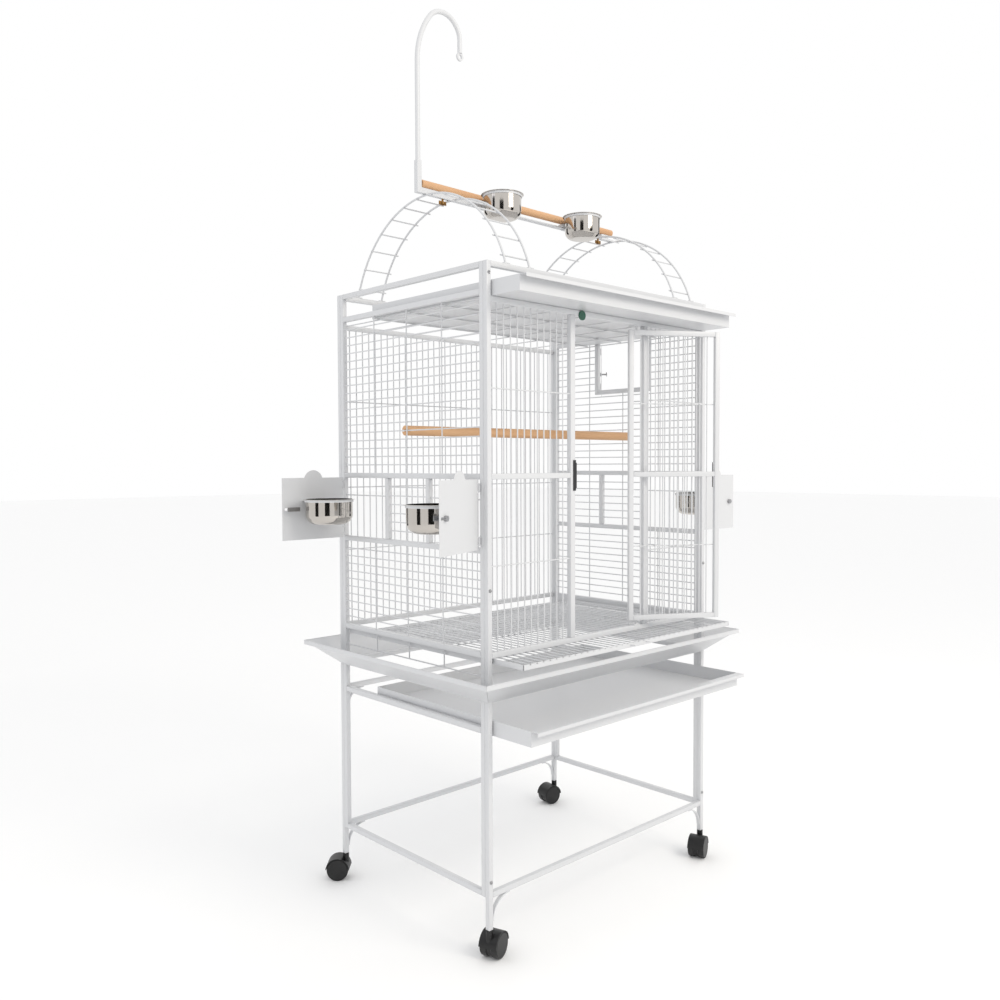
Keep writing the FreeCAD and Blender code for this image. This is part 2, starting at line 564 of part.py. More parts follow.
hinge_x = S.width / 2 + HINGE_OFF
feeder_y = reach + S.hinge_inset
nest_y = S.nest_half + 3.0
sheet_door("rear_feeder", (-hinge_x, feeder_y), 270.0 - S.rear_feeder_open, 1, True)
sheet_door("front_feeder", (-hinge_x, -feeder_y), 90.0 + S.front_feeder_open, -1, True)
sheet_door("right_feeder", (hinge_x, -feeder_y), 90.0 - S.right_feeder_open, 1, True)
sheet_door("nest", (hinge_x, nest_y), 270.0 + S.nest_open, -1, False)

lug_pins = []
for x, y, low, high in ((-hinge_x, feeder_y, S.plate_low, S.plate_high),
                        (-hinge_x, -feeder_y, S.plate_low, S.plate_high),
                        (hinge_x, -feeder_y, S.plate_low, S.plate_high), (hinge_x, nest_y, S.nest_low, S.nest_high)):
    for z in knuckle_heights(low, high):
        pin = Part.makeCylinder(S.feeder_pin / 2, KNUCKLE_LENGTH + 2 * (LUG + LUG_GAP),
                                Vector(x, y, z - LUG - LUG_GAP))
        for lug_z in (z - LUG_GAP - LUG, z + KNUCKLE_LENGTH + LUG_GAP):
            lug = Part.makeCylinder(2.6, LUG, Vector(x, y, lug_z))
            web = Part.makeBox(HINGE_OFF, 4.0, LUG, Vector(min(S.width / 2 if x > 0 else x, x), y - 2.0, lug_z))
            pin = pin.fuse([lug, web])
        lug_pins.append(feature("Hinge", pin.removeSplitter()))
node("sheet_door_hinges", lug_pins)


# ---------------------------------------------------------------- play top
half_span = S.depth / 2 - S.tube / 2
rise = S.arch_apex - S.cage_top
arch_radius = (half_span ** 2 + rise ** 2) / (2 * rise)
arch_centre = S.arch_apex - arch_radius


def arch_point(x, angle, extra=0.0):
    return Vector(x, (arch_radius + extra) * math.sin(angle), arch_centre + (arch_radius + extra) * math.cos(angle))


def ladder_arch(low_x, high_x):
    """A ladder arch: two bent rods, cross rungs welded on top, and a flat foot under each rod."""
    foot_z = S.cage_top + 1.6
    end = math.acos((foot_z - arch_centre) / arch_radius)
    solids = []
    for x in (low_x, high_x):
        tangent = Vector(0, math.cos(end), math.sin(end))
        disc = Part.Face(Part.Wire(Part.makeCircle(S.arch_rod / 2, arch_point(x, -end), tangent)))
        solids.append(disc.revolve(Vector(x, 0, arch_centre), Vector(-1, 0, 0), math.degrees(2 * end)))
        for sign in (-1, 1):
            solids.append(Part.makeBox(18.0, 10.0, 2.4, Vector(x - 9.0, sign * half_span - 5.0, S.cage_top)))
    rungs = int(S.rungs)
    for i in range(rungs):
        angle = (i - (rungs - 1) / 2) * 2 * end * 0.94 / (rungs - 1)
        start = arch_point(low_x - 6.0, angle, -(S.arch_rod + S.rung) / 2 + 0.6)
        solids.append(Part.makeCylinder(S.rung / 2, high_x - low_x + 12.0, start, Vector(1, 0, 0)))
    return feature("Ladder", solids[0].fuse(solids[1:]))


node("ladder_arches", [ladder_arch(-S.arch_outer, -S.arch_inner), ladder_arch(S.arch_inner, S.arch_outer)])

SEAT_Z = S.arch_apex + S.arch_rod / 2 + S.fit_gap
post = Part.makeBox(S.tube, S.tube, S.post_height, Vector(S.hook_x - S.tube / 2, -S.tube / 2, SEAT_Z))
base = Part.makeBox(S.base_length, S.tube, S.tube, Vector(S.hook_x - S.tube / 2, -S.tube / 2, SEAT_Z))
node("hook_post", [feature("Elbow", post.fuse(base).removeSplitter())])


def hook_wire():
    """The hook's centre line: a straight stem, a wide bend, a tight bend and a short drop."""
    wide, tight, turn = 190.0, 52.0, math.radians(38.0)
    start = Vector(S.hook_x, 0, SEAT_Z + S.post_height)
    bend = Vector(S.hook_x, 0, S.hook_straight)
    c1 = Vector(S.hook_x + wide, 0, S.hook_straight)
    p1 = c1 + Vector(-wide * math.cos(turn), 0, wide * math.sin(turn))
    m1 = c1 + Vector(-wide * math.cos(turn / 2), 0, wide * math.sin(turn / 2))
    c2 = p1 + Vector(tight * math.cos(turn), 0, -tight * math.sin(turn))
    m_angle = (math.pi - turn) / 2
    m2 = c2 + Vector(math.cos(m_angle) * tight, 0, math.sin(m_angle) * tight)
    p2 = c2 + Vector(tight, 0, 0)
    tip = p2 + Vector(0, 0, -30.0)
    edges = [Part.LineSegment(start, bend).toShape(), Part.Arc(bend, m1, p1).toShape(),
             Part.Arc(p1, m2, p2).toShape(), Part.LineSegment(p2, tip).toShape()]
    return Part.Wire(edges), start, tip


path, hook_start, hook_tip = hook_wire()
section = Part.Wire(Part.makeCircle(S.hook_rod / 2, hook_start, Vector(0, 0, 1)))
stem_solid = path.makePipeShell([section], True, False)
eye_centre = hook_tip + Vector(0, 0, -8.0)
eye = Part.makeCylinder(10.0, 5.0, eye_centre + Vector(0, -2.5, 0), Vector(0, 1, 0))
eye = eye.fuse(stem_solid).cut(Part.makeCylinder(5.0, 12.0, eye_centre + Vector(0, -6, 0), Vector(0, 1, 0)))
node("hanging_hook", [feature("Hook", eye)])

perch_z = SEAT_Z + S.tube + S.fit_gap + S.play_perch / 2
perch_low = S.hook_x + S.tube / 2 + 2.0
node("play_perch", [feature("Dowel", Part.makeCylinder(S.play_perch / 2, S.play_perch_length,
                                                     Vector(perch_low, 0, perch_z), Vector(1, 0, 0)))])
bar_low = S.hook_x - S.tube / 2 + S.base_length
flat_bar = Part.makeBox(S.arch_outer + 4 - bar_low, S.bar_width, S.bar_thick,
                        Vector(bar_low, -S.bar_width / 2, SEAT_Z))
saddle_z = SEAT_Z + S.bar_thick
saddles = [Part.makeBox(30.0, S.bar_width, S.tube - S.bar_thick, Vector(x, -S.bar_width / 2, saddle_z))
           for x in (cup - 15 for cup in (S.cup_offset + S.cup_spacing / 2, S.arch_inner + 40))]
for saddle in saddles:
    flat_bar = flat_bar.fuse(saddle)
node("perch_bar", [feature("Strap", flat_bar.removeSplitter())])

cup_y = -(S.play_perch / 2 + S.cup_rim + 2.5)
cup_rings, cup_bowls = [], []
for sign in (-1, 1):
    centre = Vector(S.cup_offset + sign * S.cup_spacing / 2, cup_y, 0)
    top = S.cup_top - S.bowl_gauge - 0.05
    hoop = ring_shape(S.cup_rim, S.cup_body, top, S.ring_height, S.ring_gauge, S.fit_gap)
    hoop.translate(centre)
    drop_to = SEAT_Z - 0.3
    arm_y = cup_y + S.cup_body + S.fit_gap + 0.4
    arm = Part.makeBox(16.0, 1.6, top - drop_to + 1.6, Vector(centre.x - 8.0, arm_y, drop_to - 1.6))
    tongue = Part.makeBox(16.0, -arm_y + 6.0, 1.6, Vector(centre.x - 8.0, arm_y, drop_to - 1.6))
    hollow = Part.makeCylinder(S.cup_body + S.fit_gap, 60.0, Vector(centre.x, centre.y, top - 60.0))
    cup_rings.append(feature("Hoop", hoop.fuse(arm.cut(hollow)).fuse(tongue.cut(hollow)).removeSplitter()))
    dish = bowl_shape(S.cup_rim, S.cup_body, S.cup_height, S.cup_top, S.bowl_gauge)
    dish.translate(centre)
    cup_bowls.append(feature("Cup", dish))
node("play_cup_rings", cup_rings)
node("play_cups", cup_bowls)

screws = []
for x in (-(S.arch_inner + S.arch_outer) / 2 + 18, (S.arch_inner + S.arch_outer) / 2 - 18):
    shank = Part.makeCylinder(2.5, 16.0, Vector(x, 0, SEAT_Z - 16.0))
    wing = Part.makeCylinder(6.0, 5.0, Vector(x, 0, SEAT_Z - 14.0))
    for side in (-1, 1):
        wing = wing.fuse(Part.makeBox(9.0, 2.4, 9.0, Vector(x + (2 if side > 0 else -11), -1.2, SEAT_Z - 15.0)))
    screws.append(feature("Wing", shank.fuse(wing).removeSplitter()))
node("wing_screws", screws)

# ---------------------------------------------------------------- inner perch
perch_height = level_rows(S.band_high + S.tube, S.side_top)[int(S.perch_row) - 1]
lean = math.radians(S.perch_turn)
half = S.perch_end / math.cos(lean) - 0.4
inner = Part.makeCylinder(S.perch / 2, 2 * half, Vector(-half, 0, 0), Vector(1, 0, 0))
for side in (-1, 1):
    start = -half - 1 if side < 0 else half - S.perch_slot_depth
    inner = inner.cut(Part.makeBox(S.perch_slot_depth + 1, S.perch * 1.2, S.perch_slot,
                                   Vector(start, -S.perch * 0.6, -S.perch_slot / 2)))
node("inner_perch", [feature("Dowel", inner)],
     FreeCAD.Placement(Vector(0, -5.0, perch_height), FreeCAD.Rotation(Vector(0, 0, 1), S.perch_turn)))


# ---------------------------------------------------------------- casters
def spool():
    """Two wheels on one axle, turned about X."""
    radius, width, gap = S.wheel / 2, S.wheel_width, S.caster_body / 2 + 0.6
    shape = Part.makeCylinder(S.axle / 2, 2 * (gap + width), Vector(-gap - width, 0, 0), Vector(1, 0, 0))
    for side in (-1, 1):
        start = gap if side > 0 else -gap - width
        wheel = Part.makeCylinder(radius, width, Vector(start, 0, 0), Vector(1, 0, 0))
        rim = [e for e in wheel.Edges if abs(e.Length - 2 * math.pi * radius) < 0.1]
        shape = shape.fuse(wheel.makeFillet(2.5, rim))
    return shape.removeSplitter()


def caster_body():
    """The caster's web between the wheels, with a hood over their tops and a neck for the stem."""
    web_r, hood_r, half_w = S.wheel / 2 - 2.0, S.wheel / 2 + 3.0, S.caster_body / 2 + 0.6 + S.wheel_width
    web = Part.makeCylinder(web_r, S.caster_body, Vector(-S.caster_body / 2, 0, 0), Vector(1, 0, 0))
    hood = Part.makeCylinder(hood_r, 2 * half_w, Vector(-half_w, 0, 0), Vector(1, 0, 0))
    hood = hood.cut(Part.makeCylinder(hood_r - 2.0, 2 * half_w, Vector(-half_w, 0, 0), Vector(1, 0, 0)))
    keep = Part.makeBox(2 * half_w, 2 * hood_r, hood_r, Vector(-half_w, -hood_r, 2.0))
    hood = hood.common(keep)
    rib = Part.makeCylinder(hood_r - 1.0, S.caster_body, Vector(-S.caster_body / 2, 0, 0), Vector(1, 0, 0))
    rib = rib.common(keep)
    neck_top = S.caster_height - S.wheel / 2 - 0.3
    neck = Part.makeCylinder(8.0, neck_top - 10.0, Vector(0, S.caster_trail, 10.0))
    clear = Part.makeCylinder(hood_r - 2.0, 2 * half_w, Vector(-half_w, 0, 0), Vector(1, 0, 0))
    web_zone = Part.makeBox(S.caster_body, 4 * hood_r, 4 * hood_r,
                            Vector(-S.caster_body / 2, -2 * hood_r, -2 * hood_r))
    neck = neck.cut(clear.cut(web_zone))
    body = web.fuse(hood).fuse(rib).fuse(neck)
    body = body.cut(Part.makeCylinder(S.axle / 2 + S.pin_gap, 20.0, Vector(-10, 0, 0), Vector(1, 0, 0)))
    bore = Part.makeCylinder(S.stem / 2 + S.pin_gap, 60.0, Vector(0, S.caster_trail, neck_top - 22.0))
    return body.cut(bore).removeSplitter()


CASTERS = {"front_left": (-1, -1, 109.0), "front_right": (1, -1, -70.0), "back_right": (1, 1, -100.0),
           "back_left": (-1, 1, -133.0)}
leg_x, leg_y = S.width / 2 - S.tube / 2, S.depth / 2 - S.tube / 2
stems = []
for word, (sx, sy, turn) in CASTERS.items():
    swivel = FreeCAD.Rotation(Vector(0, 0, 1), turn)
    foot = Vector(sx * leg_x, sy * leg_y, S.wheel / 2)
    place = FreeCAD.Placement(foot - swivel.multVec(Vector(0, S.caster_trail, 0)), swivel)
    node(f"{word}_caster_body", [feature("Fork", caster_body())], place)
    node(f"{word}_caster_wheels", [feature("Spool", spool())], place)
    stem_low = S.caster_height - 21.0
    stem = Part.makeCylinder(S.stem / 2, 21.0, Vector(foot.x, foot.y, stem_low))
    plug = Part.makeBox(S.tube - 2 * S.wall, S.tube - 2 * S.wall, 22.0,
                        Vector(foot.x - S.tube / 2 + S.wall, foot.y - S.tube / 2 + S.wall, S.caster_height))
    stems.append(feature("Stem", stem.fuse(plug).removeSplitter()))
node("caster_stems", stems)

# ---------------------------------------------------------------- fasteners and badge
bolts = []


def head(x, y, z, direction):
    """A domed screw head on a face."""
    radius = S.bolt_head / 2
    button = Part.makeCylinder(radius, S.bolt_rise * 0.4, Vector(x, y, z), direction)
    cap = Part.makeCone(radius, radius * 0.55, S.bolt_rise * 0.6, Vector(x, y, z) + direction * (S.bolt_rise * 0.4),
                        direction)
    bolts.append(feature("Head", button.fuse(cap).removeSplitter()))


for sx in (-1, 1):
    for z in (S.cage_top - 26.0, 816.0, 175.0):
        head(sx * leg_x, -S.depth / 2, z, Vector(0, -1, 0))
        head(sx * leg_x, S.depth / 2, z, Vector(0, 1, 0))
node("frame_bolts", bolts)

badge = Part.makeCylinder(S.badge, 3.0, Vector(-103.0, -S.depth / 2, S.panel_top + S.tube - S.badge - S.fit_gap),
                          Vector(0, -1, 0))
node("round_badge", [feature("Disc", badge)])


# ---------------------------------------------------------------- check and write
doc.recompute()
problems = [o.Label for o in doc.Objects if "Invalid" in o.State or "Error" in o.State]
for name, group in NODES.items():
    if group.Shape.isNull() or not group.Shape.isValid() or not group.Shape.Solids:
        problems.append(name)
if problems:
    raise RuntimeError(f"these objects failed: {problems}")
os.makedirs("parts", exist_ok=True)
for name, group in NODES.items():
    group.Shape.exportStep(f"parts/{name}.step")
print(f"{len(NODES)} nodes, {sum(len(g.Shape.Solids) for g in NODES.values())} solids")
for name, group in NODES.items():
    b = group.Shape.BoundBox
    print(f"{name:28s} {len(group.Shape.Solids):3d}  {b.XMin:8.1f} {b.XMax:8.1f} {b.YMin:8.1f} {b.YMax:8.1f} "
          f"{b.ZMin:8.1f} {b.ZMax:8.1f}")
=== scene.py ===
# %% [markdown]
# A parrot cage with a play top stands on four casters. The construction comes from the packed
# frame, so this script never moves a part of it. It gives each piece its finish, and it models
# again the pieces whose looks need more than plain faces: rounded tubes, round welded wires,
# pressed bowls, dowels and screw heads.

# %% Load the frame
import json
import math

import bmesh
import bpy
from mathutils import Matrix, Vector


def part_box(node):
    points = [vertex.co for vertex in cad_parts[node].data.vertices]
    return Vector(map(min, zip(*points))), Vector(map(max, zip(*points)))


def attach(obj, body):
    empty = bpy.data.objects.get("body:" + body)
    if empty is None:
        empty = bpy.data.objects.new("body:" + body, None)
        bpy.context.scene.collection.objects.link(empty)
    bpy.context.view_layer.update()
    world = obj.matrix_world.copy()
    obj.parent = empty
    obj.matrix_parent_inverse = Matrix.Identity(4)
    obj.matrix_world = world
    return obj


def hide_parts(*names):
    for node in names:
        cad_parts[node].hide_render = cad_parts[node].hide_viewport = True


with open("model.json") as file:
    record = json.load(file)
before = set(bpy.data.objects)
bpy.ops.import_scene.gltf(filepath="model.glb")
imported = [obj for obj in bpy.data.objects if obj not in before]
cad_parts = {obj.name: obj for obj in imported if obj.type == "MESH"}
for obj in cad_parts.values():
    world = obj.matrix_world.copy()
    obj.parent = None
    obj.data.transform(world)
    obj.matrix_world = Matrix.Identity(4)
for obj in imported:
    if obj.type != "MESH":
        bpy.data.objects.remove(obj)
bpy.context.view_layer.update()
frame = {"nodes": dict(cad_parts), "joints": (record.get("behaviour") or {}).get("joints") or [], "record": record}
NODES = frame["nodes"]
JOINTS = {joint["name"]: joint for joint in frame["joints"]}
BODY_OF = {node: body for body, names in frame["record"]["behaviour"]["bodies"].items() for node in names}

# %% [markdown]
# A material is a small tree of shader nodes. One function adds a node, sets its constants and joins
# its inputs, and the same function serves the Geometry Nodes further down. Colours are written as
# the hex codes that a paint chart gives, so they must be turned into the linear light that a shader
# works in.

# %% Node and colour helpers
def add_node(tree, kind, inputs=None, **settings):
    """Adds a node, with its settings, and with inputs that are constants or other nodes' outputs."""
    node = tree.nodes.new(kind)
    for name, value in settings.items():
        setattr(node, name, value)
    for name, value in (inputs or {}).items():
        if isinstance(value, bpy.types.NodeSocket):
            tree.links.new(value, node.inputs[name])
        else:
            node.inputs[name].default_value = value
    return node


def linear(code):
    """An sRGB hex code as linear RGBA."""
    channels = [int(code[i:i + 2], 16) / 255 for i in (1, 3, 5)]
    return [c / 12.92 if c <= 0.04045 else ((c + 0.055) / 1.055) ** 2.4 for c in channels] + [1.0]


def finish(name, colour, bump=None, tint=None, **sockets):
    """A Principled material, whose colour may vary between two tints and which may have a fine noise bump."""
    material = bpy.data.materials.new(name)
    material.use_nodes = True
    tree = material.node_tree
    tree.nodes.clear()
    place = add_node(tree, "ShaderNodeTexCoord").outputs["Object"]
    shader = add_node(tree, "ShaderNodeBsdfPrincipled", {"Base Color": linear(colour), **sockets})
    if tint:
        scale, stretch, other = tint
        wide = add_node(tree, "ShaderNodeMapping", {"Vector": place, "Scale": stretch})
        noise = add_node(tree, "ShaderNodeTexNoise",
                         {"Vector": wide.outputs[0], "Scale": scale, "Detail": 4.0})
        mix = add_node(tree, "ShaderNodeMix", {"Factor": noise.outputs[0]}, data_type="RGBA")
        mix.inputs[6].default_value, mix.inputs[7].default_value = linear(colour), linear(other)
        tree.links.new(mix.outputs[2], shader.inputs["Base Color"])
    if bump:
        scale, stretch, height = bump
        fine = add_node(tree, "ShaderNodeMapping", {"Vector": place, "Scale": stretch})
        noise = add_node(tree, "ShaderNodeTexNoise",
                         {"Vector": fine.outputs[0], "Scale": scale, "Detail": 2.0})
        relief = add_node(tree, "ShaderNodeBump",
                          {"Height": noise.outputs[0], "Distance": height, "Strength": 1.0})
        tree.links.new(relief.outputs[0], shader.inputs["Normal"])
    output = add_node(tree, "ShaderNodeOutputMaterial")
    tree.links.new(shader.outputs[0], output.inputs["Surface"])
    return material

# %% [markdown]
# Powder coat is a baked plastic skin: it is a satin white with a fine orange peel, and never a
# mirror. The bowls are spun stainless steel, whose polish runs in rings around them. Beech has fine
# dark flecks along its grain, so its noise is stretched along the dowel.

# %% Finishes
EVEN = (1.0, 1.0, 1.0)
ALONG_DOWEL = (0.05, 1.0, 1.0)
AROUND_BOWL = (0.05, 0.05, 1.0)
FINISH = {
    "white_powder_coat": finish("White powder-coated steel", "#D3D4D6", bump=(700.0, EVEN, 0.00002),
                                Roughness=0.33),
    "polished_stainless": finish("Polished stainless steel", "#C4BFB9", bump=(900.0, AROUND_BOWL, 0.000002),
                                 Metallic=1.0, Roughness=0.07),
    "beech": finish("Beech dowel", "#E0B68A", tint=(90.0, ALONG_DOWEL, "#C08F66"),
                    bump=(400.0, ALONG_DOWEL, 0.00006), Roughness=0.55),
    "black_nylon": finish("Moulded black nylon", "#101011", bump=(500.0, EVEN, 0.00003), Roughness=0.42),
    "zinc_steel": finish("Zinc-plated steel", "#A9A9AB", Metallic=1.0, Roughness=0.32),
    "black_steel": finish("Black-coated steel", "#1B1B1E", Roughness=0.35),
    "brass_screw": finish("Dull brass", "#8C6A3F", Metallic=1.0, Roughness=0.45),
    "green_disc": finish("Green enamelled disc", "#2E5E4C", Roughness=0.3),
}
SLOT_OF = {part["node"]: part["material_slot"] for part in frame["record"]["subparts"]}
for node_name, obj in NODES.items():
    obj.data.materials.clear()
    obj.data.materials.append(FINISH[SLOT_OF[node_name]])
print("finishes:", ", ".join(material.name for material in FINISH.values()))

# %% [markdown]
# Every remodelled piece stands for one node of the frame and takes its finish from the same slot.
# Sharp edges are marked by angle, so that round faces shade smoothly and flat ones stay crisp.

# %% Standing in for a node
SHARP_ANGLE = math.radians(32)


def plain(name, mesh):
    """A mesh as an object of the scene."""
    obj = bpy.data.objects.new(name, mesh)
    bpy.context.scene.collection.objects.link(obj)
    return obj


def stand_for(name, pieces):
    """Joins meshes into one object that replaces a node of the frame."""
    joined = bmesh.new()
    for mesh in pieces:
        joined.from_mesh(mesh)
        bpy.data.meshes.remove(mesh)
    mesh = bpy.data.meshes.new(f"{name}_look")
    joined.to_mesh(mesh)
    joined.free()
    mesh.polygons.foreach_set("use_smooth", [True] * len(mesh.polygons))
    mesh.set_sharp_from_angle(angle=SHARP_ANGLE)
    mesh.materials.clear()
    mesh.materials.append(FINISH[SLOT_OF[name]])
    mesh.polygons.foreach_set("material_index", [0] * len(mesh.polygons))
    obj = plain(f"{name}_look", mesh)
    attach(obj, BODY_OF[name])
    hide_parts(name)


def islands(name, undo=None):
    """The low corner, high corner and corners of each solid of a node.

    Solids that touch share edges with over two faces, so the search doesn't cross those.
    """
    solid = bmesh.new()
    solid.from_mesh(NODES[name].data)
    if undo is not None:
        solid.transform(undo)
    bmesh.ops.remove_doubles(solid, verts=solid.verts, dist=1e-6)
    left, found = set(solid.faces), []
    while left:
        stack, group = [left.pop()], []
        while stack:
            face = stack.pop()
            group += [corner.co.copy() for corner in face.verts]
            for edge in face.edges:
                if len(edge.link_faces) == 2:
                    for other in edge.link_faces:
                        if other in left:
                            left.remove(other)
                            stack.append(other)
        low, high = (Vector(pick(axis) for axis in zip(*group)) for pick in (min, max))
        if min(high - low) > 1e-4:
            found.append((low, high, group))
    solid.free()
    return found


door_line = Vector(JOINTS["door_swing"]["pos_m"])
door_angle = -math.radians(JOINTS["door_swing"]["range_deg"][0])
DOOR_OPEN = Matrix.Translation(door_line) @ Matrix.Rotation(door_angle, 4, "Z") @ Matrix.Translation(-door_line)
print("door stands", round(math.degrees(door_angle)), "degrees open")

# %% [markdown]
# The frames are welded from half-inch square tube. Rolled tube has rounded corners, and the thin
# highlight that runs along each of them is what makes it read as tube. A tube is a box with
# bevelled edges, made from the size of the solid that it stands for. A curved gusset isn't a box,
# so it is built as a bent strip of the same outline.

# %% Rounded tubes
TUBE = 0.0127
CORNER = 0.0016
STRAIGHT_UP_TO = 0.03


def rounded_box(low, high, corner=CORNER, segments=3):
    """A box with bevelled edges; a thin one gets a bevel that it has room for."""
    shape = bmesh.new()
    bmesh.ops.create_cube(shape, size=1.0)
    bmesh.ops.scale(shape, vec=high - low, verts=shape.verts)
    bmesh.ops.translate(shape, vec=(high + low) / 2, verts=shape.verts)
    limit = min(high - low) * 0.4
    bmesh.ops.bevel(shape, geom=shape.edges[:], offset=min(corner, limit), segments=segments, affect="EDGES",
                    profile=0.5)
    mesh = bpy.data.meshes.new("box")
    shape.to_mesh(mesh)
    shape.free()
    return mesh


def gusset_strip(low, high, points, gauge=0.003, steps=24):
    """A quarter-round strip whose ends touch the leg and the rail."""
    radius = high.z - low.z
    near = min(points, key=lambda p: p.z)
    leg_side = -1 if near.x < (low.x + high.x) / 2 else 1
    centre = Vector((low.x + radius if leg_side < 0 else high.x - radius, 0, low.z))
    shape = bmesh.new()
    rings = []
    for i in range(steps + 1):
        angle = math.pi / 2 * i / steps
        ring = []
        for reach, y in ((radius, low.y), (radius, high.y), (radius - gauge, high.y), (radius - gauge, low.y)):
            ring.append(shape.verts.new((centre.x + leg_side * reach * math.cos(angle), y,
                                         centre.z + reach * math.sin(angle))))
        rings.append(ring)
    for a, b in zip(rings, rings[1:]):
        for k in range(4):
            shape.faces.new((a[k], a[(k + 1) % 4], b[(k + 1) % 4], b[k]))
    shape.faces.new(rings[0][::-1])
    shape.faces.new(rings[-1])
    bmesh.ops.recalc_face_normals(shape, faces=shape.faces)
    mesh = bpy.data.meshes.new("gusset")
    shape.to_mesh(mesh)
    shape.free()
    return mesh


FRAMES = ("front_panel_frame", "back_panel_frame", "left_side_frame", "right_side_frame", "stand_front_frame",
          "stand_back_frame", "stand_side_frames")
for name in FRAMES:
    pieces = []
    for low, high, points in islands(name):
        bent = min(high.x - low.x, high.z - low.z) > STRAIGHT_UP_TO
        pieces.append(gusset_strip(low, high, points) if bent else rounded_box(low, high))
    stand_for(name, pieces)
    print(name, len(pieces), "pieces")

pieces = [rounded_box(low, high) for low, high, _ in islands("door_frame", DOOR_OPEN.inverted())]
for mesh in pieces:
    mesh.transform(DOOR_OPEN)
stand_for("door_frame", pieces)
print("door_frame", len(pieces), "tubes")

# %% [markdown]
# A wire field is a row of equal bars with a few tie wires welded across it. That is a rule, so
# Geometry Nodes make it: a line of points, with one round bar set on every point. The count, first
# place, step, run and radius are named inputs, and the same tree makes every field of the cage, its
# roof, its door and its grate.

# %% The wire field tree
def new_tree(name, inputs):
    """A Geometry Nodes tree with named inputs and nothing in it yet, and the sockets of its input node."""
    tree = bpy.data.node_groups.new(name, "GeometryNodeTree")
    tree.interface.new_socket("Geometry", in_out="INPUT", socket_type="NodeSocketGeometry")
    for label, kind in inputs.items():
        tree.interface.new_socket(label, in_out="INPUT", socket_type=f"NodeSocket{kind}")
    tree.interface.new_socket("Geometry", in_out="OUTPUT", socket_type="NodeSocketGeometry")
    return tree, add_node(tree, "NodeGroupInput").outputs


def close_tree(tree, geometry, material):
    """Ends a tree: real geometry and the material."""
    real = add_node(tree, "GeometryNodeRealizeInstances", {"Geometry": geometry})
    painted = add_node(tree, "GeometryNodeSetMaterial", {"Geometry": real.outputs[0], "Material": material})
    add_node(tree, "NodeGroupOutput", {"Geometry": painted.outputs[0]})
    return tree


def grow(tree, values, points=()):
    """Runs a tree on a set of points and returns its result as a plain mesh."""
    mesh = bpy.data.meshes.new("seed")
    mesh.from_pydata([tuple(p) for p in points], [], [])
    seed = plain("seed", mesh)
    modifier = seed.modifiers.new("Grow", "NODES")
    modifier.node_group = tree
    for item in tree.interface.items_tree:
        if item.in_out == "INPUT" and item.name in values:
            modifier[item.identifier] = values[item.name]
    seed.update_tag()
    graph = bpy.context.evaluated_depsgraph_get()
    result = bpy.data.meshes.new_from_object(seed.evaluated_get(graph), preserve_all_data_layers=True,
                                             depsgraph=graph)
    bpy.data.objects.remove(seed)
    return result


def bars_tree():
    """A row of equal round bars, each running from its own point."""
    tree, given = new_tree("Row of bars", {
        "Count": "Int", "Start": "Vector", "Step": "Vector", "Run": "Vector", "Radius": "Float",
        "Material": "Material"})
    row = add_node(tree, "GeometryNodeMeshLine",
                   {"Count": given["Count"], "Start Location": given["Start"], "Offset": given["Step"]},
                   mode="OFFSET")
    line = add_node(tree, "GeometryNodeCurvePrimitiveLine", {"End": given["Run"]})
    ring = add_node(tree, "GeometryNodeCurvePrimitiveCircle", {"Resolution": 10, "Radius": given["Radius"]})
    bar = add_node(tree, "GeometryNodeCurveToMesh",
                   {"Curve": line.outputs[0], "Profile Curve": ring.outputs[0], "Fill Caps": True})
    set_on = add_node(tree, "GeometryNodeInstanceOnPoints",
                      {"Points": row.outputs[0], "Instance": bar.outputs[0]})
    return close_tree(tree, set_on.outputs[0], given["Material"])


BARS = bars_tree()
WIRE = 0.0015
PITCH = 0.0203
WHITE = FINISH["white_powder_coat"]


def bars(count, start, step, run):
    """A row of white bars as one mesh."""
    return grow(BARS, {"Count": count, "Start": tuple(start), "Step": tuple(step), "Run": tuple(run),
                       "Radius": WIRE, "Material": WHITE})


print("tree:", BARS.name, "with", len(BARS.nodes), "nodes")

# %% [markdown]
# Each field's place and size are those of the solid it replaces. The bars run one way and share the
# field's near face; the ties cross them on the outside, a little sunk into them as a spot weld
# leaves them.

# %% Wire fields
X, Y, Z = Vector((1, 0, 0)), Vector((0, 1, 0)), Vector((0, 0, 1))


def spread(length):
    """How many bars divide a length into gaps of about the pitch, and the gap that this gives."""
    gaps = max(2, int(length / PITCH + 0.5))
    return gaps - 1, length / gaps


def upright_field(low, high, y_bar, y_tie, ties):
    """Upright bars between two corners, with tie wires across them at the heights given."""
    count, gap = spread(high.x - low.x)
    meshes = [bars(count, (low.x + gap, y_bar, low.z), X * gap, Z * (high.z - low.z))]
    for z in ties:
        meshes.append(bars(1, (low.x, y_tie, z), X, X * (high.x - low.x)))
    return meshes


for name, turn in (("front_panel_bars", Matrix.Identity(4)), ("door_bars", DOOR_OPEN)):
    meshes = []
    for low, high, _ in islands(name, turn.inverted()):
        meshes += upright_field(low, high, high.y - WIRE, low.y + WIRE, [(low.z + high.z) / 2])
    for mesh in meshes:
        mesh.transform(turn)
    stand_for(name, meshes)

MID_RAIL = 1.057
low, high, _ = islands("back_panel_bars")[0]
ties = [(low.z + MID_RAIL) / 2, MID_RAIL - 2 * TUBE, (MID_RAIL + TUBE + high.z) / 2]
stand_for("back_panel_bars", upright_field(low, high, low.y + WIRE, high.y - WIRE, ties))
print("upright fields done")

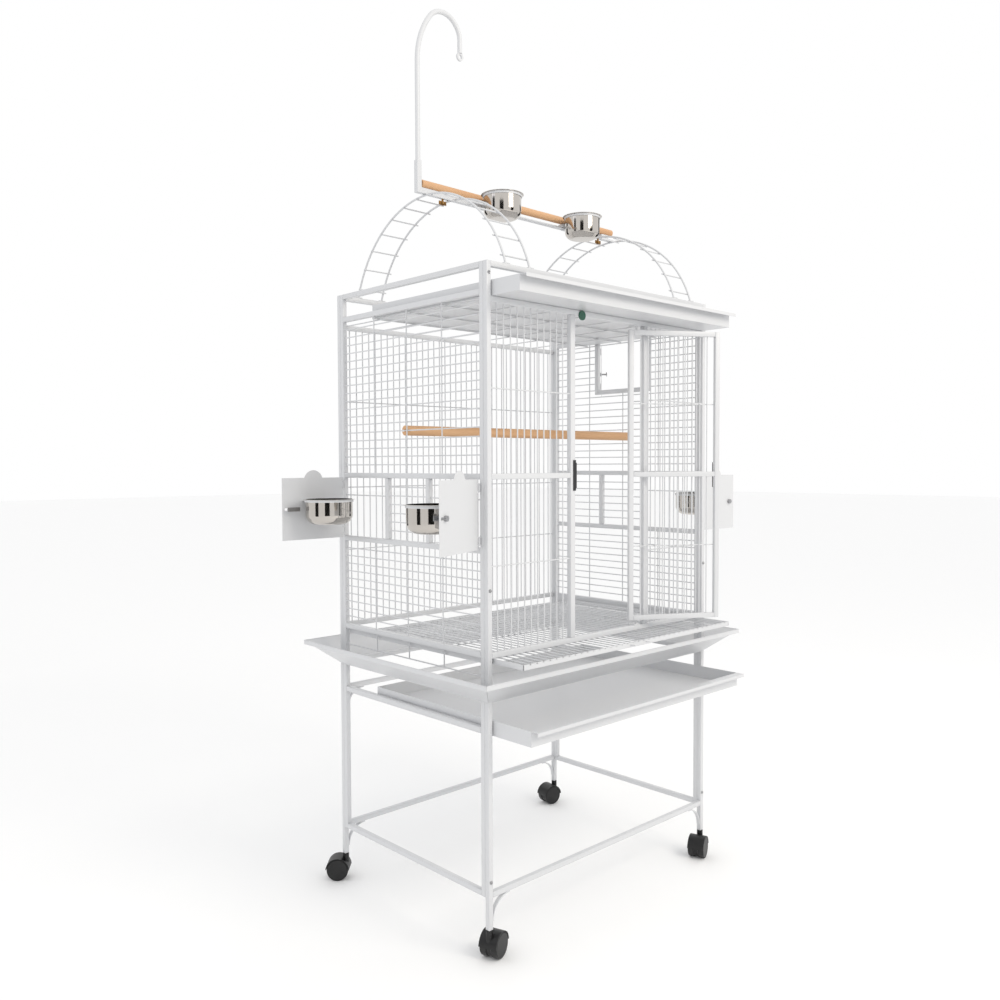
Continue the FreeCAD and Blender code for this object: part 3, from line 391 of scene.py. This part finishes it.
SIDE_TIES = (-0.13, 0.0, 0.13)
TIE_MARGIN = 0.02
UPPER_ROWS = (1.0697, 1.4553)
UPPER_FROM = 1.06
GUARD_WIRES_BELOW = 0.64
SINGLE_WIRE_UP_TO = 2.5 * WIRE
MOST_ROWS = 60


def level_field(low, high, x_bar, x_tie, rows=None):
    """Level bars; a field inside the upper panel keeps to that panel's rows."""
    base, top = rows or (low.z, high.z)
    _, gap = spread(top - base)
    heights = [base + gap * i for i in range(1, MOST_ROWS) if low.z < base + gap * i < high.z]
    run = Y * (high.y - low.y)
    meshes = [bars(len(heights), (x_bar, low.y, heights[0]), Z * gap, run)]
    for y in SIDE_TIES:
        if low.y + TIE_MARGIN < y < high.y - TIE_MARGIN:
            meshes.append(bars(1, (x_tie, y, low.z), Z, Z * (high.z - low.z)))
    return meshes


for name, side in (("left_side_bars", -1), ("right_side_bars", 1)):
    inner, outer = sorted((abs(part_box(name)[0][0]), abs(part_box(name)[1][0])))
    x_bar, x_tie = side * (inner + WIRE), side * (outer - WIRE)
    meshes = []
    for low, high, _ in islands(name):
        if high.z - low.z < SINGLE_WIRE_UP_TO:
            meshes.append(bars(1, (x_bar, low.y, low.z + WIRE), Z, Y * (high.y - low.y)))
        elif low.z < GUARD_WIRES_BELOW:
            meshes.append(bars(1, (x_bar, low.y, low.z + WIRE), Z, Y * (high.y - low.y)))
            for y in SIDE_TIES:
                meshes.append(bars(1, (x_bar, y, low.z + WIRE), Z, Z * (high.z - low.z - WIRE)))
        else:
            rows = UPPER_ROWS if low.z > UPPER_FROM else None
            meshes += level_field(low, high, x_bar, x_tie, rows)
    stand_for(name, meshes)
    print(name, len(meshes), "rows")

ROOF_BARS = 8
low, high = map(Vector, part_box("roof_grille"))
roof_span = high.x - low.x - 2 * WIRE
step = roof_span / (ROOF_BARS - 1)
meshes = [bars(ROOF_BARS, (low.x + WIRE, low.y, low.z + WIRE), X * step, Y * (high.y - low.y))]
for y in SIDE_TIES:
    meshes.append(bars(1, (low.x + WIRE, y, high.z - WIRE), X, X * roof_span))
stand_for("roof_grille", meshes)
print("roof grille done")

# %% [markdown]
# The grate is a shallow frame of flat steel with wires across it, and a small wire grip in front.
# It lies over the litter drawer, and the bars keep the bird off the litter.

# %% Floor grate
GRIP_REACH = 0.0155
GRIP_HALF = 0.03
STRIP = 0.002
STRIP_CORNER = 0.0006
CROSS_WIRES = 3
CROSS_DROP = 2.9 * WIRE

low, high = map(Vector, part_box("floor_grate"))
front_y = low.y + GRIP_REACH
depth = high.y - front_y
strips = (((low.x, front_y, low.z), (high.x, front_y + STRIP, high.z)),
          ((low.x, high.y - STRIP, low.z), high),
          ((low.x, front_y, low.z), (low.x + STRIP, high.y, high.z)),
          ((high.x - STRIP, front_y, low.z), high))
meshes = [rounded_box(Vector(a), Vector(b), STRIP_CORNER, 2) for a, b in strips]
count, gap = spread(high.x - low.x)
meshes.append(bars(count, (low.x + gap, front_y, high.z - WIRE), X * gap, Y * depth))
step = Y * depth / (CROSS_WIRES + 1)
meshes.append(bars(CROSS_WIRES, (low.x, front_y + step.y, high.z - CROSS_DROP), step, X * (high.x - low.x)))
mid_z = (low.z + high.z) / 2
meshes.append(bars(2, (-GRIP_HALF, low.y + WIRE, mid_z), X * 2 * GRIP_HALF, Y * GRIP_REACH))
meshes.append(bars(1, (-GRIP_HALF - WIRE, low.y + WIRE, mid_z), X, X * 2 * (GRIP_HALF + WIRE)))
stand_for("floor_grate", meshes)
print("grate:", count, "wires")

# %% [markdown]
# A ladder arch is two bent rods with rungs welded between them. A Geometry Nodes tree draws one
# arc, makes both rods from it, and sets a rung on each of a number of evenly spaced points of a
# slightly shorter arc.

# %% Ladder arches
RUNG_SHARE = 0.94


def arch_tree():
    """Two parallel arcs of rod with rungs between them, standing in the plane across the row."""
    tree, given = new_tree("Ladder arch", {"Radius": "Float", "Half Angle": "Float", "Gauge": "Float",
                                           "Rod Radius": "Float", "Rungs": "Int", "Rung Radius": "Float",
                                           "Rung Sink": "Float", "Overhang": "Float", "Material": "Material"})

    def arc(radius, share):
        half = add_node(tree, "ShaderNodeMath", {0: given["Half Angle"], 1: share}, operation="MULTIPLY")
        start = add_node(tree, "ShaderNodeMath", {0: math.pi / 2, 1: half.outputs[0]}, operation="SUBTRACT")
        sweep = add_node(tree, "ShaderNodeMath", {0: half.outputs[0], 1: 2.0}, operation="MULTIPLY")
        flat = add_node(tree, "GeometryNodeCurveArc", {"Resolution": 120, "Radius": radius,
                                                       "Start Angle": start.outputs[0],
                                                       "Sweep Angle": sweep.outputs[0]}, mode="RADIUS")
        quarter = (math.pi / 2, 0.0, math.pi / 2)
        stood = add_node(tree, "GeometryNodeTransform", {"Geometry": flat.outputs[0], "Rotation": quarter})
        return stood.outputs[0]

    def tube(curve, radius):
        ring = add_node(tree, "GeometryNodeCurvePrimitiveCircle", {"Resolution": 14, "Radius": radius})
        return add_node(tree, "GeometryNodeCurveToMesh", {"Curve": curve, "Profile Curve": ring.outputs[0],
                                                          "Fill Caps": True}).outputs[0]

    rod = tube(arc(given["Radius"], 1.0), given["Rod Radius"])
    parts = add_node(tree, "GeometryNodeJoinGeometry")
    for share in (-0.5, 0.5):
        shift = add_node(tree, "ShaderNodeMath", {0: given["Gauge"], 1: share}, operation="MULTIPLY")
        place = add_node(tree, "ShaderNodeCombineXYZ", {"X": shift.outputs[0]})
        moved = add_node(tree, "GeometryNodeTransform",
                         {"Geometry": rod, "Translation": place.outputs[0]})
        tree.links.new(moved.outputs[0], parts.inputs[0])
    inner = add_node(tree, "ShaderNodeMath", {0: given["Radius"], 1: given["Rung Sink"]},
                     operation="SUBTRACT")
    seats = add_node(tree, "GeometryNodeCurveToPoints", {"Curve": arc(inner.outputs[0], RUNG_SHARE),
                                                         "Count": given["Rungs"]}, mode="COUNT")
    half = add_node(tree, "ShaderNodeMath", {0: given["Gauge"], 1: 0.5, 2: given["Overhang"]},
                    operation="MULTIPLY_ADD")
    back = add_node(tree, "ShaderNodeMath", {0: half.outputs[0], 1: -1.0}, operation="MULTIPLY")
    start = add_node(tree, "ShaderNodeCombineXYZ", {"X": back.outputs[0]})
    end = add_node(tree, "ShaderNodeCombineXYZ", {"X": half.outputs[0]})
    line = add_node(tree, "GeometryNodeCurvePrimitiveLine",
                    {"Start": start.outputs[0], "End": end.outputs[0]})
    rung = tube(line.outputs[0], given["Rung Radius"])
    rungs = add_node(tree, "GeometryNodeInstanceOnPoints", {"Points": seats.outputs[0], "Instance": rung})
    tree.links.new(rungs.outputs[0], parts.inputs[0])
    return close_tree(tree, parts.outputs[0], given["Material"])


ARCH = arch_tree()
CAGE_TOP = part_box("back_panel_frame")[1][2]
SEAT_DROP = 0.0028
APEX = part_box("hook_post")[0][2] - SEAT_DROP
HALF_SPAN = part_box("back_panel_frame")[1][1] - TUBE / 2
PAD_HALF = Vector((0.009, 0.005, 0.0012))
PAD_CORNER = 0.0005
FOOT_RISE = 0.0016
RODS_AND_RUNGS = {"Rod Radius": 0.0025, "Rungs": 14, "Rung Radius": 0.00175, "Rung Sink": 0.00365,
                  "Overhang": 0.006, "Material": WHITE}
rise = APEX - CAGE_TOP
arch_radius = (HALF_SPAN ** 2 + rise ** 2) / (2 * rise)
foot = CAGE_TOP + FOOT_RISE
half_angle = math.acos((foot - APEX + arch_radius) / arch_radius)
meshes = []
for low, high, _ in islands("ladder_arches"):
    gauge = high.x - low.x - 2 * PAD_HALF.x
    arch = grow(ARCH, {"Radius": arch_radius, "Half Angle": half_angle, "Gauge": gauge, **RODS_AND_RUNGS})
    centre = Vector(((low.x + high.x) / 2, 0, APEX - arch_radius))
    arch.transform(Matrix.Translation(centre))
    meshes.append(arch)
    for x in (centre.x - gauge / 2, centre.x + gauge / 2):
        for side in (-1, 1):
            pad = Vector((x, side * HALF_SPAN, CAGE_TOP + PAD_HALF.z))
            meshes.append(rounded_box(pad - PAD_HALF, pad + PAD_HALF, PAD_CORNER, 2))
stand_for("ladder_arches", meshes)
print("arch radius", round(arch_radius * 1000), "mm")

# %% [markdown]
# Bowls, cups, the dowel and the screw heads are turned shapes, so one lathe makes them: an outline
# of distances from the axis and places along it is carried around the axis. Round stretches of an
# outline come from one arc function.

# %% The lathe
def arc_points(centre, radius, start, end, steps=10):
    """Points of an arc as (distance, height), with the angles in degrees."""
    turn = [math.radians(start + (end - start) * i / steps) for i in range(steps + 1)]
    return [(centre[0] + radius * math.cos(a), centre[1] + radius * math.sin(a)) for a in turn]


def lathe(outline, place, steps=96):
    """A turned mesh about Z, moved to its place by a matrix."""
    shape = bmesh.new()
    rings = []
    for distance, height in outline:
        if distance < 1e-7:
            rings.append([shape.verts.new((0, 0, height))])
        else:
            rings.append([shape.verts.new((distance * math.cos(2 * math.pi * k / steps),
                                           distance * math.sin(2 * math.pi * k / steps), height))
                          for k in range(steps)])
    for a, b in zip(rings, rings[1:]):
        for k in range(steps):
            corners = [a[k % len(a)], a[(k + 1) % len(a)], b[(k + 1) % len(b)], b[k % len(b)]]
            corners = list(dict.fromkeys(corners))
            if len(corners) > 2:
                shape.faces.new(corners)
    bmesh.ops.recalc_face_normals(shape, faces=shape.faces)
    shape.transform(place)
    mesh = bpy.data.meshes.new("turned")
    shape.to_mesh(mesh)
    shape.free()
    return mesh


def bowl_outline(rim, body, height, gauge=0.0008):
    """A pressed bowl: rounded foot, straight wall, and a rim that is rolled over and under."""
    foot = body * 0.42
    bead = 0.0004
    outside = [(0.0, 0.0)] + arc_points((body - foot, foot), foot, -90, 0)
    rolled = [(body, height - 2 * gauge)] + arc_points((rim - bead, height - bead), bead, 220, 450, 16)
    inside = [(body - gauge, height)] + arc_points((body - foot, foot), foot - gauge, 0, -90) + [(0.0, gauge)]
    return outside + rolled + inside


BOWL = bowl_outline(rim=0.0635, body=0.0575, height=0.062)
CUP = bowl_outline(rim=0.053, body=0.047, height=0.060)
OUTLINE_OF = {"rear_feeder_bowl": BOWL, "front_feeder_bowl": BOWL, "right_feeder_bowl": BOWL, "play_cups": CUP}
for name, outline in OUTLINE_OF.items():
    turned = []
    for low, high, _ in islands(name):
        place = Matrix.Translation(Vector(((low.x + high.x) / 2, (low.y + high.y) / 2, low.z)))
        turned.append(lathe(outline, place))
    stand_for(name, turned)
print("bowls:", len(BOWL), "points in the outline")

# %% [markdown]
# The perches are sanded beech dowels. Their ends are eased by a small chamfer, which a hand sander
# leaves. The inner perch has a saw cut at each end that sits over a wire, so it keeps its plain
# node from the frame and only the play perch is turned here.

# %% Play perch
low, high = map(Vector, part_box("play_perch"))
radius, length, ease = (high.z - low.z) / 2, high.x - low.x, 0.0012
outline = [(0.0, 0.0), (radius - ease, 0.0), (radius, ease), (radius, length - ease), (radius - ease, length),
           (0.0, length)]
lay = Matrix.Translation((low.x, 0.0, (low.z + high.z) / 2)) @ Matrix.Rotation(math.pi / 2, 4, "Y")
stand_for("play_perch", [lathe(outline, lay, 64)])
print("play perch", round(length * 1000), "mm")

# %% [markdown]
# The frame is held together by button-head screws. A tree sets the same head on every point that it
# is given. The head is a turned dome, and its outline dips at the axis to make a round recess for
# the driver.

# %% Screw heads
def heads_tree():
    """The same head on every point that the tree is given."""
    tree, given = new_tree("Heads on points",
                           {"Head": "Object", "Rotation": "Vector", "Material": "Material"})
    head = add_node(tree, "GeometryNodeObjectInfo", {"Object": given["Head"]})
    turn = add_node(tree, "FunctionNodeEulerToRotation", {"Euler": given["Rotation"]})
    spots = add_node(tree, "GeometryNodeMeshToPoints", {"Mesh": given["Geometry"]})
    placed = add_node(tree, "GeometryNodeInstanceOnPoints", {"Points": spots.outputs[0],
                                                            "Instance": head.outputs["Geometry"],
                                                            "Rotation": turn.outputs[0]})
    return close_tree(tree, placed.outputs[0], given["Material"])


HEADS = heads_tree()
HEAD_RADIUS, DOME_RADIUS, DOME_UP_TO = 0.004, 0.0032, 62
RECESS = [(0.0022, 0.0029), (0.0012, 0.0026), (0.0012, 0.0014), (0.0, 0.0014)]
head_outline = [(0.0, 0.0), (HEAD_RADIUS, 0.0)]
head_outline += arc_points((HEAD_RADIUS - DOME_RADIUS, 0.0), DOME_RADIUS, 0, DOME_UP_TO, 8) + RECESS
dome = plain("dome", lathe(head_outline, Matrix.Identity(4), 24))
spots = {-1: [], 1: []}
for low, high, _ in islands("frame_bolts"):
    side = -1 if low.y < 0 else 1
    spots[side].append(((low.x + high.x) / 2, high.y if side < 0 else low.y, (low.z + high.z) / 2))
meshes = [grow(HEADS, {"Head": dome, "Rotation": (-side * math.pi / 2, 0.0, 0.0),
                       "Material": FINISH["zinc_steel"]}, points) for side, points in spots.items()]
bpy.data.objects.remove(dome)
stand_for("frame_bolts", meshes)
print("screw heads:", sum(len(points) for points in spots.values()))

# %% [markdown]
# What is left keeps its plain node: folded sheets, hooks, latches, hinges and casters. Their faces
# only need smooth shading where they are round, by the same angle rule as the pieces above.

# %% Shading of the plain nodes
for obj in NODES.values():
    mesh = obj.data
    mesh.polygons.foreach_set("use_smooth", [True] * len(mesh.polygons))
    mesh.set_sharp_from_angle(angle=SHARP_ANGLE)
print("plain nodes shaded")

# %% [markdown]
# The cage stands on a pale floor in soft light. A broad cool light on its left and a broad warm one
# in front of its right side give the two faces of every tube their different whites.

# %% Stage and light
mesh = bpy.data.meshes.new("floor")
reach = 30.0
corners = [(-reach, -reach, 0), (reach, -reach, 0), (reach, reach, 0), (-reach, reach, 0)]
mesh.from_pydata(corners, [], [(0, 1, 2, 3)])
mesh.materials.append(finish("Pale studio floor", "#FAFAFA", Roughness=0.9))
plain("floor", mesh)

scene = bpy.context.scene
scene.view_settings.view_transform = "Standard"
world = scene.world or bpy.data.worlds.new("Studio")
scene.world = world
world.use_nodes = True
world.node_tree.nodes.clear()
sky = add_node(world.node_tree, "ShaderNodeBackground", {"Color": linear("#FFFFFF"), "Strength": 1.0})
out = add_node(world.node_tree, "ShaderNodeOutputWorld")
world.node_tree.links.new(sky.outputs[0], out.inputs[0])


def softbox(name, place, target, size, power, colour):
    """A square area light that faces its target."""
    lamp = bpy.data.lights.new(name, "AREA")
    lamp.size, lamp.energy, lamp.color = size, power, linear(colour)[:3]
    obj = bpy.data.objects.new(name, lamp)
    scene.collection.objects.link(obj)
    obj.location = place
    obj.rotation_euler = (Vector(target) - Vector(place)).to_track_quat("-Z", "Y").to_euler()


softbox("Front light", (0.4, -3.3, 3.0), (0, 0, 1.3), 1.6, 46, "#FFF8EC")
softbox("Left light", (-3.6, 0.6, 2.8), (0, 0, 1.3), 1.4, 3, "#E8EDFF")

# %% [markdown]
# A polished bowl shows what stands around it, and a white room alone would make it look like
# plastic. Studios put black flags beside polished steel. These panels are seen by reflections only,
# and neither the camera nor the shadows know of them.

# %% Black flags
FLAG = finish("Black studio flag", "#050505", Roughness=1.0)


def flag(name, place, width, height):
    """An upright black panel that faces the cage."""
    panel = bpy.data.meshes.new(name)
    half = width / 2
    panel.from_pydata([(-half, 0, 0), (half, 0, 0), (half, 0, height), (-half, 0, height)], [], [(0, 1, 2, 3)])
    panel.materials.append(FLAG)
    obj = plain(name, panel)
    obj.location = place
    obj.rotation_euler = (0, 0, math.atan2(place[1], place[0]) + math.pi / 2)
    obj.visible_camera = obj.visible_diffuse = obj.visible_shadow = False


FLAGS = {"Flag behind camera": ((-2.9, -2.5, 0.2), 1.5, 2.4), "Flag left": ((-3.4, 0.4, 0.2), 0.9, 2.4),
         "Flag front right": ((0.9, -3.4, 0.2), 1.1, 2.2), "Flag right": ((3.2, 0.3, 0.2), 1.2, 2.4),
         "Flag back": ((-0.6, 3.4, 0.2), 1.1, 2.4)}
for name, (place, width, height) in FLAGS.items():
    flag(name, place, width, height)
print(len(FLAGS), "flags")

# %% [markdown]
# The camera stands about 2.5 m from the cage, a metre up and almost level, and sees its front and
# its left side. Its turn is written as three angles, from which the directions ahead, right and up
# of the view follow.

# %% Camera
lens = bpy.data.cameras.new("Camera")
CAMERA_AT = (-1.7374, -1.7346, 1.0885)
FOCAL_MM, SENSOR_MM = 32.99, 36.0
lens.lens, lens.sensor_width, lens.clip_end = FOCAL_MM, SENSOR_MM, 100.0
camera = bpy.data.objects.new("Camera", lens)
scene.collection.objects.link(camera)
scene.camera = camera
yaw, pitch, roll = math.radians(43.346), math.radians(-2.192), math.radians(-0.198)
ahead = Vector((math.sin(yaw) * math.cos(pitch), math.cos(yaw) * math.cos(pitch), math.sin(pitch)))
right = Vector((math.cos(yaw), -math.sin(yaw), 0.0))
up = right.cross(ahead)
level_right = right * math.cos(roll) + up * math.sin(roll)
level_up = up * math.cos(roll) - right * math.sin(roll)
aim = Matrix((level_right, level_up, -ahead)).transposed().to_4x4()
camera.matrix_world = Matrix.Translation(CAMERA_AT) @ aim
print("camera at", [round(v, 2) for v in camera.location])
